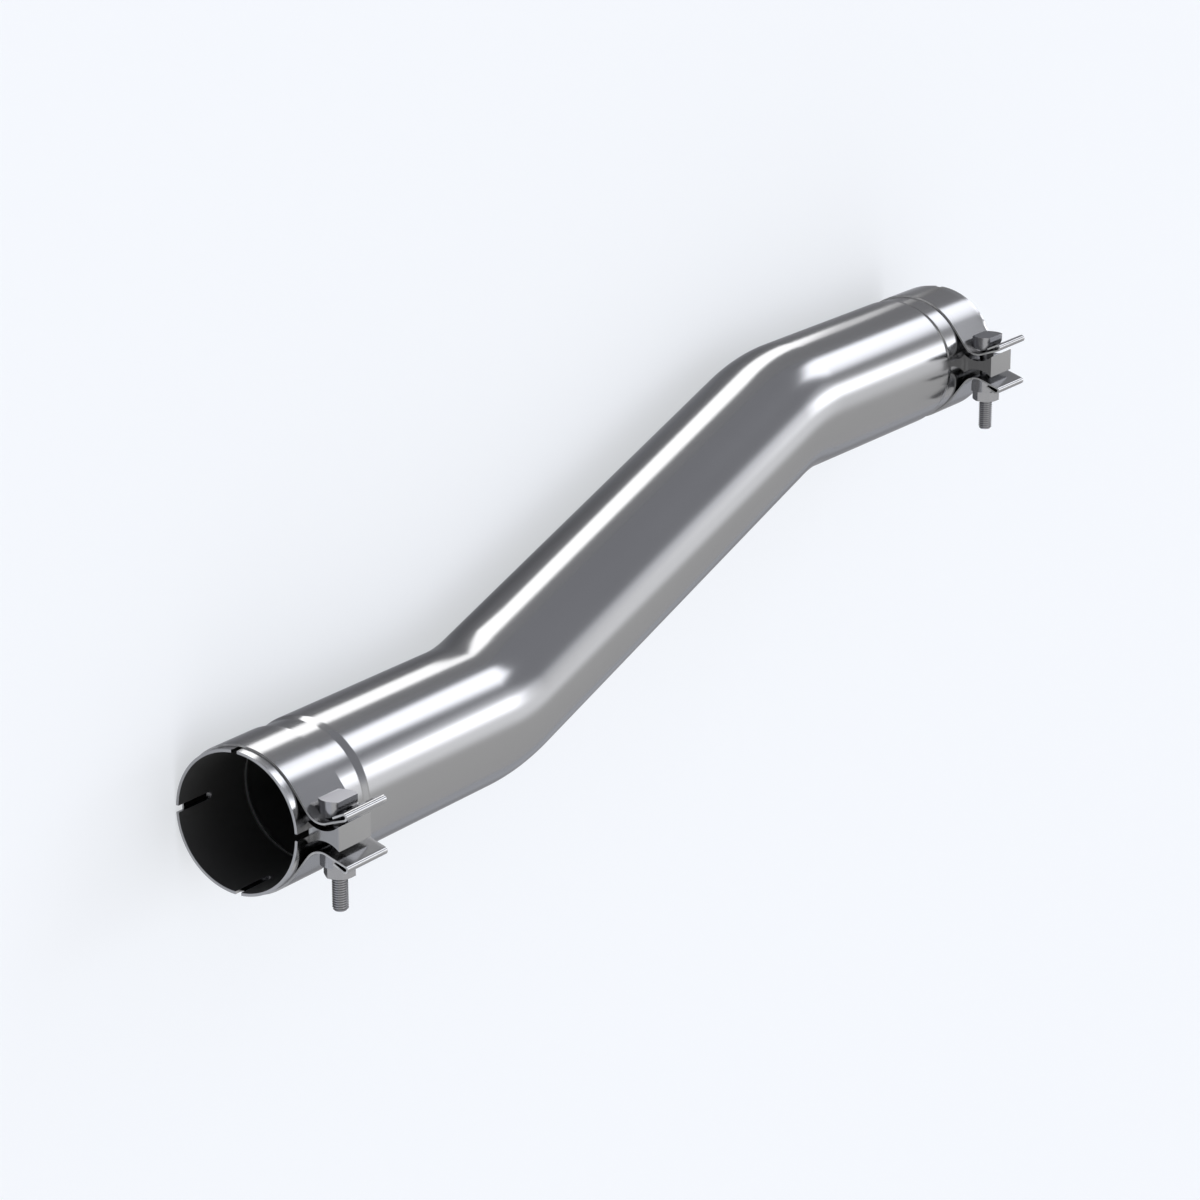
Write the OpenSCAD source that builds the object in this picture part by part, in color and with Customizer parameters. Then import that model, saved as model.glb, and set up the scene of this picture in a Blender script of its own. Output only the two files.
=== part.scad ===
// Muffler bypass pipe with a band clamp on each slotted end sleeve.
// Millimetres. The pipe lies flat with both clamp bolts on top. The origin is
// the centre of the inlet mouth, +X runs along the pipe to the outlet, +Y is
// the side that the outlet is offset to, and +Z is up.

/* [Pipe] */
// Length from the inlet mouth to the outlet mouth, along X
overall_length = 698.5; // [600:0.5:1000]
// Outer diameter of the bent pipe
pipe_diameter = 76.2; // [60:0.1:90]
// Thickness of the pipe's wall
wall = 1.5; // [1:0.1:3]
// Sideways distance from the inlet's axis to the outlet's axis
axis_offset = 96; // [60:1:140]
// Angle of each of the two bends
bend_angle = 17.85; // [12:0.05:30]
// Radius of each bend, measured on the centreline
bend_radius = 114.3; // [80:0.1:160]

/* [End sleeves] */
// Inner diameter of the sleeve that slips over the mating pipe
sleeve_bore = 71.1; // [60:0.1:73]
// Length of each end sleeve, from its mouth to the shoulder
sleeve_length = 52.3; // [45:0.1:70]
// Length of the conical shoulder between a sleeve and the full pipe
shoulder_length = 4.5; // [2:0.1:15]
// Number of clamping slots around each sleeve
slot_count = 4; // [2:2:8]
// Length of a slot from the mouth to its round end
slot_length = 25.4; // [12:0.1:35]
// Width of a slot
slot_width = 3.5; // [2:0.1:6]

/* [Clamp band] */
// Width of the band along the pipe
band_width = 31.75; // [26:0.05:38]
// Thickness of the band's sheet
band_thickness = 1; // [0.8:0.1:1.6]
// Distance from the mouth to the band's near edge
band_inset = 5.7; // [0:0.1:8]
// Clear gap between the two ears where they come closest
ear_gap = 14; // [12:0.1:18]
// Height of the ears' tips above the pipe's axis
ear_reach = 62.4; // [60:0.1:68]
// Height above the pipe's axis of the centre of the ears' cradles
cradle_height = 46.6; // [45:0.1:50]
// Angle at which an ear leans away from the gap above its cradle
ear_lean = 20; // [5:1:30]
// Radius of the hem that folds an ear's tip back, on the sheet's middle
hem_radius = 1.5; // [1:0.1:2.2]
// Length of the leaf that comes back from the hem
hem_return = 6.5; // [3:0.1:8]
// Angle at which that leaf leans in towards the ear
hem_pinch = 7; // [0:1:9]

/* [Reaction block] */
// Length of the block along the pipe
block_length = 25.4; // [16:0.1:30]
// Height of the block's top face above the pipe's axis
block_reach = 55; // [53:0.1:58]
// Width of the block's top face, across the gap between the ears
block_width = 12.6; // [10:0.1:13]
// Thickness of the block at its waist
block_waist = 5.2; // [3:0.1:8]
// Radius of the block's two hollow flanks
block_hollow = 14; // [12:0.1:18]

/* [Clamp bolt] */
// Nominal diameter of the bolt
bolt_diameter = 8; // [6:0.5:9]
// Height of the bolt's axis above the pipe's axis
bolt_height = 45.3; // [45:0.1:46.6]
// Length of the bolt from the seat of its head to its tip
bolt_length = 50; // [46:0.5:70]
// Extra diameter of every hole that the bolt passes through
bolt_clearance = 1; // [0.2:0.1:2]
// Length of the bolt's head along the pipe, over its round ends
head_length = 19.5; // [16:0.5:26]
// Width of the head and of the washer, over their flats
head_width = 12; // [10:0.1:12.5]
// Height of the head's flat sides
head_side = 2.4; // [1:0.1:5]
// Edge break along the backs of the head and the washer and at the bolt's tip
edge_break = 0.6; // [0.2:0.1:1]

/* [Washer and nut] */
// Height of the barrel washer's flat sides
washer_side = 3.4; // [1:0.1:5]
// Width of the nut over its flats
nut_flats = 14; // [12:0.1:17]
// Height of the nut
nut_height = 6.5; // [4:0.1:9]
// Turn of the nut about the bolt's axis
nut_turn = 10; // [0:1:59]

/* [Hidden] */
$fn = 120;

// How far a cutting shape runs past the solid that it cuts
overcut = 1;

// A straight stretch is a hair slimmer than the bends beside it, and each of
// its ends is seated inside one
seat_hair = 0.004;
tube_seat = 0.4;
sheet_seat = 0.1;

// Pipe and sleeve radii
pipe_outer = pipe_diameter / 2;
pipe_inner = pipe_outer - wall;
sleeve_inner = sleeve_bore / 2;
sleeve_outer = sleeve_inner + wall;

// The centreline: straight, bend, slanted straight, bend back, straight
bend_run = bend_radius * sin(bend_angle);
bend_rise = bend_radius * (1 - cos(bend_angle));
slant_length = (axis_offset - 2 * bend_rise) / sin(bend_angle);
end_straight = (overall_length - 2 * bend_run - slant_length * cos(bend_angle)) / 2;
slant_start = [end_straight + bend_run, bend_rise, 0];

// Places of the two clamps along the pipe
clamp_inset = band_inset + band_width / 2;
inlet_clamp = [clamp_inset, 0, 0];
outlet_clamp = [overall_length - clamp_inset, axis_offset, 0];

// The band's sheet, measured on its middle. An ear's cradle is the arc that
// touches the ring round the sleeve and stays half of the gap from the plane
// between the ears
ring_radius = sleeve_outer + band_thickness / 2;
ear_offset = (ear_gap + band_thickness) / 2;
cradle_radius = (pow(ear_offset, 2) + pow(cradle_height, 2) - pow(ring_radius, 2))
    / (2 * (ring_radius - ear_offset));
cradle_offset = ear_offset + cradle_radius;
ring_gap_angle = atan2(cradle_offset, cradle_height);

// The straight part of an ear runs from its cradle up to its hem
cradle_top = cradle_height + cradle_radius * sin(ear_lean);
hem_foot = ear_reach - hem_radius * (1 - sin(ear_lean)) - band_thickness / 2;
ear_straight = (hem_foot - cradle_top) / cos(ear_lean);

// The barrel of the head rests inside the cradle, and touches it on one line
head_barrel = head_width / 2;
cradle_slack = cradle_radius - band_thickness / 2 - head_barrel;
barrel_offset = cradle_offset
    - sqrt(pow(cradle_slack, 2) - pow(cradle_height - bolt_height, 2));
bolt_seat = barrel_offset - head_barrel;
bolt_hole = bolt_diameter + bolt_clearance;
nut_seat = barrel_offset + washer_side;

// A sketch drawn in Y and Z, extruded along X about the middle
module along_x(length) {
    rotate([90, 0, 90])
        linear_extrude(length, center = true)
            children();
}

// A sketch of radius and place along X, turned about the X axis
module turned_x() {
    rotate([0, 90, 0])
        rotate_extrude()
            children();
}

// Radius and length profile of one end of the pipe, from its mouth inwards
module end_profile(sleeve, full, past_mouth) {
    polygon([[0, -past_mouth], [sleeve, -past_mouth], [sleeve, sleeve_length],
             [full, sleeve_length + shoulder_length], [full, end_straight],
             [0, end_straight]]);
}

// The first end and its bend, from the mouth at the origin
module end_and_bend(sleeve, full, past_mouth) {
    turned_x()
        end_profile(sleeve, full, past_mouth);
    translate([end_straight, bend_radius, 0])
        rotate([0, 0, -90])
            rotate_extrude(angle = bend_angle)
                translate([bend_radius, 0])
                    circle(full);
}

// Puts the children at the outlet, turned to face back along the pipe
module at_outlet() {
    translate([overall_length, axis_offset, 0])
        rotate([0, 0, 180])
            children();
}

// The bent pipe as a solid rod, with its narrower ends
module pipe_rod(sleeve, full, past_mouth) {
    end_and_bend(sleeve, full, past_mouth);
    translate(slant_start)
        rotate([90, 0, 90 + bend_angle])
            translate([0, 0, -tube_seat])
                cylinder(h = slant_length + 2 * tube_seat, r = full - seat_hair);
    at_outlet()
        end_and_bend(sleeve, full, past_mouth);
}

// The clamping slots of the inlet sleeve
module sleeve_slots() {
    slot_straight = slot_length - slot_width / 2;
    cut_depth = wall + 2 * overcut;
    for (i = [0 : slot_count - 1])
        rotate([i * 360 / slot_count, 0, 0])
            translate([0, 0, sleeve_inner - overcut]) {
                translate([-overcut, -slot_width / 2, 0])
                    cube([slot_straight + overcut, slot_width, cut_depth]);
                translate([slot_straight, 0, 0])
                    cylinder(h = cut_depth, d = slot_width);
            }
}

// The pipe is one formed tube: two bends, two swaged sleeves, slotted ends
module bypass_pipe() {
    color("silver")
        difference() {
            pipe_rod(sleeve_outer, pipe_outer, 0);
            pipe_rod(sleeve_inner, pipe_inner, overcut);
            sleeve_slots();
            at_outlet()
                sleeve_slots();
        }
}

// Sheet that starts along +X and bends to +Y, with the children at its end
module sheet_bend(radius, turn) {
    translate([0, radius, 0]) {
        rotate([0, 0, -90])
            rotate_extrude(angle = turn)
                translate([radius - band_thickness / 2, -band_width / 2])
                    square([band_thickness, band_width]);
        rotate([0, 0, turn])
            translate([0, -radius, 0])
                children();
    }
}

// Flat sheet that runs along +X, with the children at its end
module sheet_flat(length) {
    seats = min($children, 1) + 1;
    translate([-sheet_seat, seat_hair - band_thickness / 2, -band_width / 2])
        cube([length + seats * sheet_seat, band_thickness - 2 * seat_hair, band_width]);
    translate([length, 0, 0])
        children();
}

// One ear, from the end of the ring: cradle, straight, hem, and the leaf that
// comes back from the hem
module ear() {
    rotate([0, 0, -ring_gap_angle])
        translate([0, ring_radius, 0])
            rotate([0, 0, 180])
                mirror([0, 1, 0])
                    sheet_bend(cradle_radius, 90 - ring_gap_angle + ear_lean)
                        sheet_flat(ear_straight)
                            sheet_bend(hem_radius, 180 + hem_pinch)
                                sheet_flat(hem_return);
}

// The strip in its own plane: ear, ring round the sleeve, ear
module band_strip() {
    rotate([0, 0, ring_gap_angle])
        translate([0, ring_radius, 0])
            rotate([0, 0, 180])
                sheet_bend(ring_radius, 360 - 2 * ring_gap_angle);
    ear();
    mirror([1, 0, 0])
        ear();
}

// The clamp band is one strip of sheet, with a hole for the bolt in each ear
module clamp_band() {
    color("gainsboro")
        difference() {
            rotate([90, 0, 90])
                band_strip();
            translate([0, 0, bolt_height])
                rotate([90, 0, 0])
                    cylinder(h = 2 * cradle_offset, d = bolt_hole, center = true);
        }
}

// Sketch of the reaction block: hollow flanks, and a foot that fits the sleeve
module block_sketch() {
    difference() {
        translate([-block_width / 2, 0])
            square([block_width, block_reach]);
        circle(sleeve_outer);
        for (side = [-1, 1])
            translate([side * (block_waist / 2 + block_hollow), bolt_height])
                circle(block_hollow);
    }
}

// The reaction block between the ears, drilled for the bolt
module reaction_block() {
    color("darkgray")
        difference() {
            along_x(block_length)
                block_sketch();
            translate([0, 0, bolt_height])
                rotate([90, 0, 0])
                    cylinder(h = 2 * block_width, d = bolt_hole, center = true);
        }
}

// Sketch of a half barrel: its round side faces -Y, its flat back has its
// edges broken
module half_barrel_sketch(side) {
    half = head_width / 2;
    corner = half - edge_break;
    intersection() {
        union() {
            circle(half);
            translate([0, -half])
                square([side, head_width]);
        }
        polygon([[-half, -half], [side - edge_break, -half], [side, -corner],
                 [side, corner], [side - edge_break, half], [-half, half]]);
    }
}

// Half barrel with flat sides and round ends. Its axis lies on X
module half_barrel(side) {
    intersection() {
        along_x(head_length + 2 * overcut)
            half_barrel_sketch(side);
        rotate([90, 0, 0])
            cylinder(h = 2 * head_width, d = head_length, center = true);
    }
}

// The bolt: half-barrel head seated in the ear on +Y, shank towards -Y
module clamp_bolt() {
    shank = barrel_offset - bolt_seat + bolt_length;
    color("silver")
        translate([0, barrel_offset, bolt_height]) {
            half_barrel(head_side);
            rotate([90, 0, 0]) {
                cylinder(h = shank - edge_break, d = bolt_diameter);
                translate([0, 0, shank - edge_break])
                    cylinder(h = edge_break, d1 = bolt_diameter,
                             d2 = bolt_diameter - 2 * edge_break);
            }
        }
}

// The barrel washer: the same half barrel, seated in the ear on -Y
module barrel_washer() {
    color("silver")
        translate([0, -barrel_offset, bolt_height])
            difference() {
                mirror([0, 1, 0])
                    half_barrel(washer_side);
                rotate([90, 0, 0])
                    cylinder(h = 2 * head_width, d = bolt_hole, center = true);
            }
}

// Hexagon nut with its corners turned off at both faces
module clamp_nut() {
    nut_corners = nut_flats / cos(30);
    corner_drop = (nut_corners - nut_flats) / 2 * tan(30);
    color("silver")
        translate([0, -nut_seat, bolt_height])
            rotate([90, nut_turn, 0])
                difference() {
                    intersection() {
                        cylinder(h = nut_height, d = nut_corners, $fn = 6);
                        rotate_extrude()
                            polygon([[0, 0], [nut_flats / 2, 0],
                                     [nut_corners / 2, corner_drop],
                                     [nut_corners / 2, nut_height - corner_drop],
                                     [nut_flats / 2, nut_height], [0, nut_height]]);
                    }
                    translate([0, 0, -overcut])
                        cylinder(h = nut_height + 2 * overcut, d = bolt_diameter);
                }
}

bypass_pipe();
translate(inlet_clamp) clamp_band();  // inlet_clamp_band
translate(inlet_clamp) reaction_block();  // inlet_reaction_block
translate(inlet_clamp) clamp_bolt();  // inlet_clamp_bolt
translate(inlet_clamp) barrel_washer();  // inlet_barrel_washer
translate(inlet_clamp) clamp_nut();  // inlet_clamp_nut
translate(outlet_clamp) clamp_band();  // outlet_clamp_band
translate(outlet_clamp) reaction_block();  // outlet_reaction_block
translate(outlet_clamp) clamp_bolt();  // outlet_clamp_bolt
translate(outlet_clamp) barrel_washer();  // outlet_barrel_washer
translate(outlet_clamp) clamp_nut();  // outlet_clamp_nut
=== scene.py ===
import math

import bmesh
import bpy
from mathutils import Matrix, Vector


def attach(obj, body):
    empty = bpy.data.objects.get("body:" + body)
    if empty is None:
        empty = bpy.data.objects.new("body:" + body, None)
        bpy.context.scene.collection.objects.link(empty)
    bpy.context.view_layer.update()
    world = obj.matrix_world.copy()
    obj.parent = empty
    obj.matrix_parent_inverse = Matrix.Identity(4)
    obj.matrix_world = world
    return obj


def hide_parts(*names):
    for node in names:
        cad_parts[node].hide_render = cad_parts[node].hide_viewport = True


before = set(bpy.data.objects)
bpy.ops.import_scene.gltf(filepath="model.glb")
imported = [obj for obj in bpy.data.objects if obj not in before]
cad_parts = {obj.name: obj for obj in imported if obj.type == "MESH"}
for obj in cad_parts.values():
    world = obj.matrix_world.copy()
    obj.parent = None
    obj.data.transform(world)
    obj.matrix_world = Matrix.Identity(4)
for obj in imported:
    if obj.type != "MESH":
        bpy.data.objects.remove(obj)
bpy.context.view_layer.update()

MM = 0.001

# The bent pipe, in metres
PIPE_R = 38.1 * MM
WALL = 1.5 * MM
SLEEVE_R = 37.05 * MM
SLEEVE_LENGTH = 52.3 * MM
SHOULDER_LENGTH = 4.5 * MM
SHOULDER_EASE = 0.5 * MM
BEND_ANGLE = math.radians(17.85)
BEND_R = 114.3 * MM
LENGTH = 698.5 * MM
OFFSET = 96 * MM
SLOT_COUNT = 4
SLOT_LENGTH = 25.4 * MM
SLOT_WIDTH = 3.5 * MM
BEND_RUN = BEND_R * math.sin(BEND_ANGLE)
BEND_RISE = BEND_R * (1 - math.cos(BEND_ANGLE))
SLANT = (OFFSET - 2 * BEND_RISE) / math.sin(BEND_ANGLE)
END_STRAIGHT = (LENGTH - 2 * BEND_RUN - SLANT * math.cos(BEND_ANGLE)) / 2

# Points round the pipe, and steps along each of its stretches
RING_POINTS = 160
SLEEVE_STEPS = 26
SHOULDER_STEPS = 16
STRAIGHT_STEPS = 12
BEND_STEPS = 20
SLANT_STEPS = 24

# The clamp, in metres, about the middle of its sleeve
BAND_WIDTH = 31.75 * MM
SHEET = 1 * MM
CLAMP_INSET = 5.7 * MM + BAND_WIDTH / 2
RING_R = SLEEVE_R + SHEET / 2
EAR_TIP = 62.4 * MM
EAR_LEAN = math.radians(19)
CRADLE_HEIGHT = 46.6 * MM
CRADLE_R = 10 * MM
CRADLE_OFFSET = 17.37 * MM
CRADLE_DISTANCE = math.hypot(CRADLE_OFFSET, CRADLE_HEIGHT)
RUN_LENGTH = math.sqrt(CRADLE_DISTANCE**2 - (RING_R + CRADLE_R) ** 2)
GAP_ANGLE = (math.atan2(CRADLE_OFFSET, CRADLE_HEIGHT)
             + math.acos((RING_R + CRADLE_R) / CRADLE_DISTANCE))
HEM_R = 1.5 * MM
HEM_RETURN = 6.6 * MM
HEM_TURN = math.radians(187)
BLOCK_LENGTH = 25.4 * MM
BLOCK_TOP = 55 * MM
BLOCK_WIDTH = 12.6 * MM
BLOCK_WAIST = 5.2 * MM
BLOCK_HOLLOW = 14 * MM
BOLT_HEIGHT = 45.3 * MM
BOLT_R = 4 * MM
BOLT_HOLE_R = 4.5 * MM
BOLT_LENGTH = 50 * MM
THREAD_PITCH = 1.25 * MM
THREAD_DEPTH = 0.541 * THREAD_PITCH
THREAD_LENGTH = 28 * MM
THREAD_SEAT = 0.5 * MM
TIP_TAPER = 1.1 * MM
TIP_SLOPE = 0.9
HEAD_LENGTH = 19.5 * MM
BARREL_R = 6 * MM
HEAD_SIDE = 2.4 * MM
WASHER_SIDE = 3.4 * MM
SLACK = CRADLE_R - SHEET / 2 - BARREL_R
BARREL_OFFSET = CRADLE_OFFSET - math.sqrt(SLACK**2 - (CRADLE_HEIGHT - BOLT_HEIGHT) ** 2)
NUT_SEAT = BARREL_OFFSET + WASHER_SIDE
NUT_FLATS = 14 * MM
NUT_HEIGHT = 6.5 * MM
NUT_TURN = math.radians(10)
NUT_PLAY = 0.05 * MM

# Columns across the band, and steps along each stretch of its half
BAND_COLUMNS = 8
RING_STEPS = 84
RUN_STEPS = 5
CRADLE_STEPS = 28
EAR_STEPS = 5
HEM_STEPS = 20
RETURN_STEPS = 3

# Widths of the broken edges
PIPE_BREAK = 0.22 * MM
SHEET_BREAK = 0.2 * MM
BLOCK_BREAK = 0.35 * MM
HEAD_BREAK = 0.6 * MM
WASHER_BREAK = 0.4 * MM
NUT_BREAK = 0.15 * MM

# The photograph's viewpoint: where the camera stands, which way it looks and how far it is rolled
CAMERA_AT = (-1.348543, 0.646945, 1.096499)
CAMERA_AZIMUTH = math.radians(-20.32474)
CAMERA_ELEVATION = math.radians(-31.67181)
CAMERA_ROLL = math.radians(100.91032)
LENS_MM = 115.188
SENSOR_MM = 36
FAR_CLIP = 50

# The world: azimuths of its dim side in degrees, where it comes in and where it goes, and colours
DIM_IN = (8, 30)
DIM_OUT = (150, 190)
OPEN_COLOUR = (1, 1, 1, 1)
DIM_COLOUR = (0.505, 0.515, 0.56, 1)
BOX_COLOUR = (0.93, 0.95, 1.0)
OVERHEAD_RISE = (58, 74)
OVERHEAD_LEVEL = 0.45

# The floor under the pipe, and the painted shade that it shows in the steel beside the pipe, in metres
FLOOR_Z = -PIPE_R
FLOOR_HALF = 30
FLOOR_COLOUR = (0.895, 0.922, 0.995, 1)
FLOOR_PAINTED_SHADE = (0.50, 0.50, 0.51, 1)
FLOOR_GLOW = (0.97, 0.99, 1.0, 1)
SEEN_SHARE = 0.55
MIRRORED_SHARE = 0.1
OPEN_SHARE = 0.25
MIDDLE_TURNS = (0.18, 0.52)
SHADE_BEYOND = (0.015, 0.05)
SHADE_BESIDE = (-0.06, -0.04)
SHADE_BESIDE_END = (-0.30, -0.16)
SHADE_MOUTH = (-0.06, -0.01)

# The bright panel on the floor: how far along X it reaches, how far past the pipe's two bends
# its own turns lie, and how far out in Y its near and far edges are, in metres
PANEL_START = -40 * MM
PANEL_END = 810 * MM
PANEL_PAST_FIRST = 40 * MM
PANEL_PAST_SECOND = 26 * MM
PANEL_TAIL = 50 * MM
PANEL_NEAR_INLET = 72 * MM
PANEL_NEAR_SLANT = (93 * MM, 165 * MM)
PANEL_NEAR_OUTLET = (166 * MM, 160 * MM)
PANEL_FAR_INLET = 240 * MM
PANEL_FAR_SLANT = 276 * MM
PANEL_FAR_OUTLET = (196 * MM, 176 * MM)
PANEL_LIFT = 0.4 * MM
PANEL_LEVEL = 3.8
PANEL_FAR_LEVEL = 2.0
PANEL_END_DROP = 1.5
PANEL_FADE = (0.60, 0.67)
PANEL_END_FADE = (0.68, 0.79)
PANEL_SLOPE = (0.719, 0.735)

# The steel: scales of its polishing lines, smudges and spots, what they do to its roughness and
# its tone, where an edge counts as worn, its tint at grazing angles and its painted crease highlight
LINE_SCALE = (12, 900, 900)
SMUDGE_SCALE = (14, 26, 26)
SPOT_SCALE = (220, 260, 260)
LINE_ROUGHNESS = 0.03
WORN_ROUGHNESS = 0.1
SPOT_TONE = 0.02
WORN_POINTINESS = (0.52, 0.62)
BUMP_DEPTH = 0.1 * MM
GRAZING_TINT = (0.66, 0.66, 0.67, 1)
CREASE_HIGHLIGHT_EDGE = (0.0006, 0.0014)
CREASE_HIGHLIGHT_COLOUR = (0.9, 0.9, 0.9, 1)

X = Vector((1, 0, 0))
Z = Vector((0, 0, 1))
ALONG_BOLT = Matrix.Rotation(math.pi / 2, 3, "X")
HOLE_POINTS = 64

# How near two points are before they count as one, in metres
MERGE = 1e-6
SPECK_MERGE = 2e-6
CUT_MERGE = 1e-7


# Mesh tools

def verts_of(geom):
    return [g for g in geom if isinstance(g, bmesh.types.BMVert)]


def edges_of(geom):
    return [g for g in geom if isinstance(g, bmesh.types.BMEdge)]


def pull(bm, edges, step, count=1, scale=None, about=None):
    """Extrudes open edges by a step, count times. It can scale each new loop in Y and Z."""
    for _ in range(count):
        out = bmesh.ops.extrude_edge_only(bm, edges=edges)["geom"]
        edges = edges_of(out)
        verts = verts_of(out)
        bmesh.ops.translate(bm, verts=verts, vec=step)
        if scale is not None:
            space = Matrix.Translation(-about)
            bmesh.ops.scale(bm, verts=verts, vec=(1, scale, scale), space=space)
    return edges


def turn(bm, edges, centre, axis, angle, steps):
    """Spins open edges about an axis and gives back the last ones."""
    out = bmesh.ops.spin(bm, geom=edges, cent=centre, axis=axis, dvec=(0, 0, 0),
                         angle=angle, steps=steps)
    return edges_of(out["geom_last"])


def linked(bm, name):
    """An object in the scene with the mesh that bm holds."""
    mesh = bpy.data.meshes.new(name)
    bm.to_mesh(mesh)
    bm.free()
    obj = bpy.data.objects.new(name, mesh)
    bpy.context.scene.collection.objects.link(obj)
    return obj


def finished(bm, name):
    """A closed shape with its doubles merged and its faces turned outwards."""
    bmesh.ops.remove_doubles(bm, verts=bm.verts, dist=MERGE)
    bmesh.ops.recalc_face_normals(bm, faces=bm.faces)
    return linked(bm, name)


def apply_modifiers(obj, *tools):
    """Puts the modifiers' result into the mesh and removes the shapes that cut it."""
    bpy.context.view_layer.update()
    graph = bpy.context.evaluated_depsgraph_get()
    mesh = bpy.data.meshes.new_from_object(obj.evaluated_get(graph))
    old = obj.data
    obj.modifiers.clear()
    obj.data = mesh
    bpy.data.meshes.remove(old)
    for tool in tools:
        used = tool.data
        bpy.data.objects.remove(tool)
        if used.users == 0:
            bpy.data.meshes.remove(used)


def combine(obj, operation, *tools):
    """Cuts, joins or overlaps a piece with other shapes, which it uses up."""
    for tool in tools:
        change = obj.modifiers.new(operation, "BOOLEAN")
        change.operation = operation
        change.solver = "EXACT"
        change.object = tool
    apply_modifiers(obj, *tools)


def break_edges(obj, width, degrees=35, segments=2):
    """Rounds every edge that turns by more than the given degrees."""
    change = obj.modifiers.new("broken edges", "BEVEL")
    change.width = width
    change.segments = segments
    change.limit_method = "ANGLE"
    change.angle_limit = math.radians(degrees)
    change.use_clamp_overlap = True
    apply_modifiers(obj)


def merge_specks(obj):
    """Merges the specks that wide broken edges leave, so that a union comes out the same each time."""
    bm = bmesh.new()
    bm.from_mesh(obj.data)
    bmesh.ops.remove_doubles(bm, verts=bm.verts, dist=SPECK_MERGE)
    bmesh.ops.dissolve_degenerate(bm, edges=bm.edges, dist=SPECK_MERGE)
    bm.to_mesh(obj.data)
    bm.free()


def shade(obj, degrees=30):
    """Smooth shading that leaves large faces flat right up to their broken edges."""
    obj.data.polygons.foreach_set("use_smooth", [True] * len(obj.data.polygons))
    obj.data.set_sharp_from_angle(angle=math.radians(degrees))
    change = obj.modifiers.new("even normals", "WEIGHTED_NORMAL")
    change.mode = "FACE_AREA"
    change.weight = 100
    change.keep_sharp = True
    apply_modifiers(obj)


def rod(name, radius, start, end, points=96):
    """A closed round rod from start to end."""
    start, end = Vector(start), Vector(end)
    bm = bmesh.new()
    bmesh.ops.create_cone(bm, cap_ends=True, segments=points, radius1=radius, radius2=radius,
                          depth=(end - start).length)
    aim = (end - start).to_track_quat("Z", "Y").to_matrix().to_4x4()
    bmesh.ops.transform(bm, matrix=Matrix.Translation((start + end) / 2) @ aim, verts=bm.verts)
    return finished(bm, name)


def block(name, low, high):
    """A closed box between two corners, from which a piece is cut."""
    low, high = Vector(low), Vector(high)
    bm = bmesh.new()
    bmesh.ops.create_cube(bm, size=1)
    bmesh.ops.scale(bm, verts=bm.verts, vec=high - low)
    bmesh.ops.translate(bm, verts=bm.verts, vec=(low + high) / 2)
    return finished(bm, name)


# The pipe

def slot_cutter(name, angle):
    """The shape of one slot: a box with a round end, laid on the sleeve at an angle."""
    straight = SLOT_LENGTH - SLOT_WIDTH / 2
    bm = bmesh.new()
    tip = bm.verts.new((straight, SLOT_WIDTH / 2, 0))
    out = bmesh.ops.spin(bm, geom=[tip], cent=(straight, 0, 0), axis=Z, dvec=(0, 0, 0),
                         angle=-math.pi, steps=16)
    last = verts_of(out["geom_last"])[0]
    far = [bm.verts.new((-SLOT_WIDTH, side * SLOT_WIDTH / 2, 0)) for side in (-1, 1)]
    bm.edges.new((last, far[0]))
    bm.edges.new((far[0], far[1]))
    bm.edges.new((far[1], tip))
    face = bmesh.ops.contextual_create(bm, geom=bm.edges)["faces"]
    lift = bmesh.ops.extrude_face_region(bm, geom=face)["geom"]
    bmesh.ops.translate(bm, verts=verts_of(lift), vec=(0, 0, 3 * WALL))
    bmesh.ops.translate(bm, verts=bm.verts, vec=(0, 0, SLEEVE_R - 2 * WALL))
    turned = Matrix.Rotation(angle, 3, "X")
    bmesh.ops.rotate(bm, verts=bm.verts, cent=(0, 0, 0), matrix=turned)
    return finished(bm, name)


def shoulder(bm, edges, centre, towards, grow):
    """The swaged shoulder: loops that ease from one radius to the other along a soft S."""
    radii = (SLEEVE_R, PIPE_R) if grow else (PIPE_R, SLEEVE_R)
    soft = 0.25
    step = towards * ((SHOULDER_LENGTH + 2 * SHOULDER_EASE) / SHOULDER_STEPS)
    radius = radii[0]
    for i in range(1, SHOULDER_STEPS + 1):
        t = min(i, SHOULDER_STEPS - i) / SHOULDER_STEPS
        rise = t * t / (2 * soft * (1 - soft)) if t < soft else (t - soft / 2) / (1 - soft)
        rise = rise if 2 * i < SHOULDER_STEPS else 1 - rise
        new = radii[0] + (radii[1] - radii[0]) * rise
        centre = centre + step
        edges = pull(bm, edges, step, 1, new / radius, centre)
        radius = new
    return edges, centre


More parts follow.
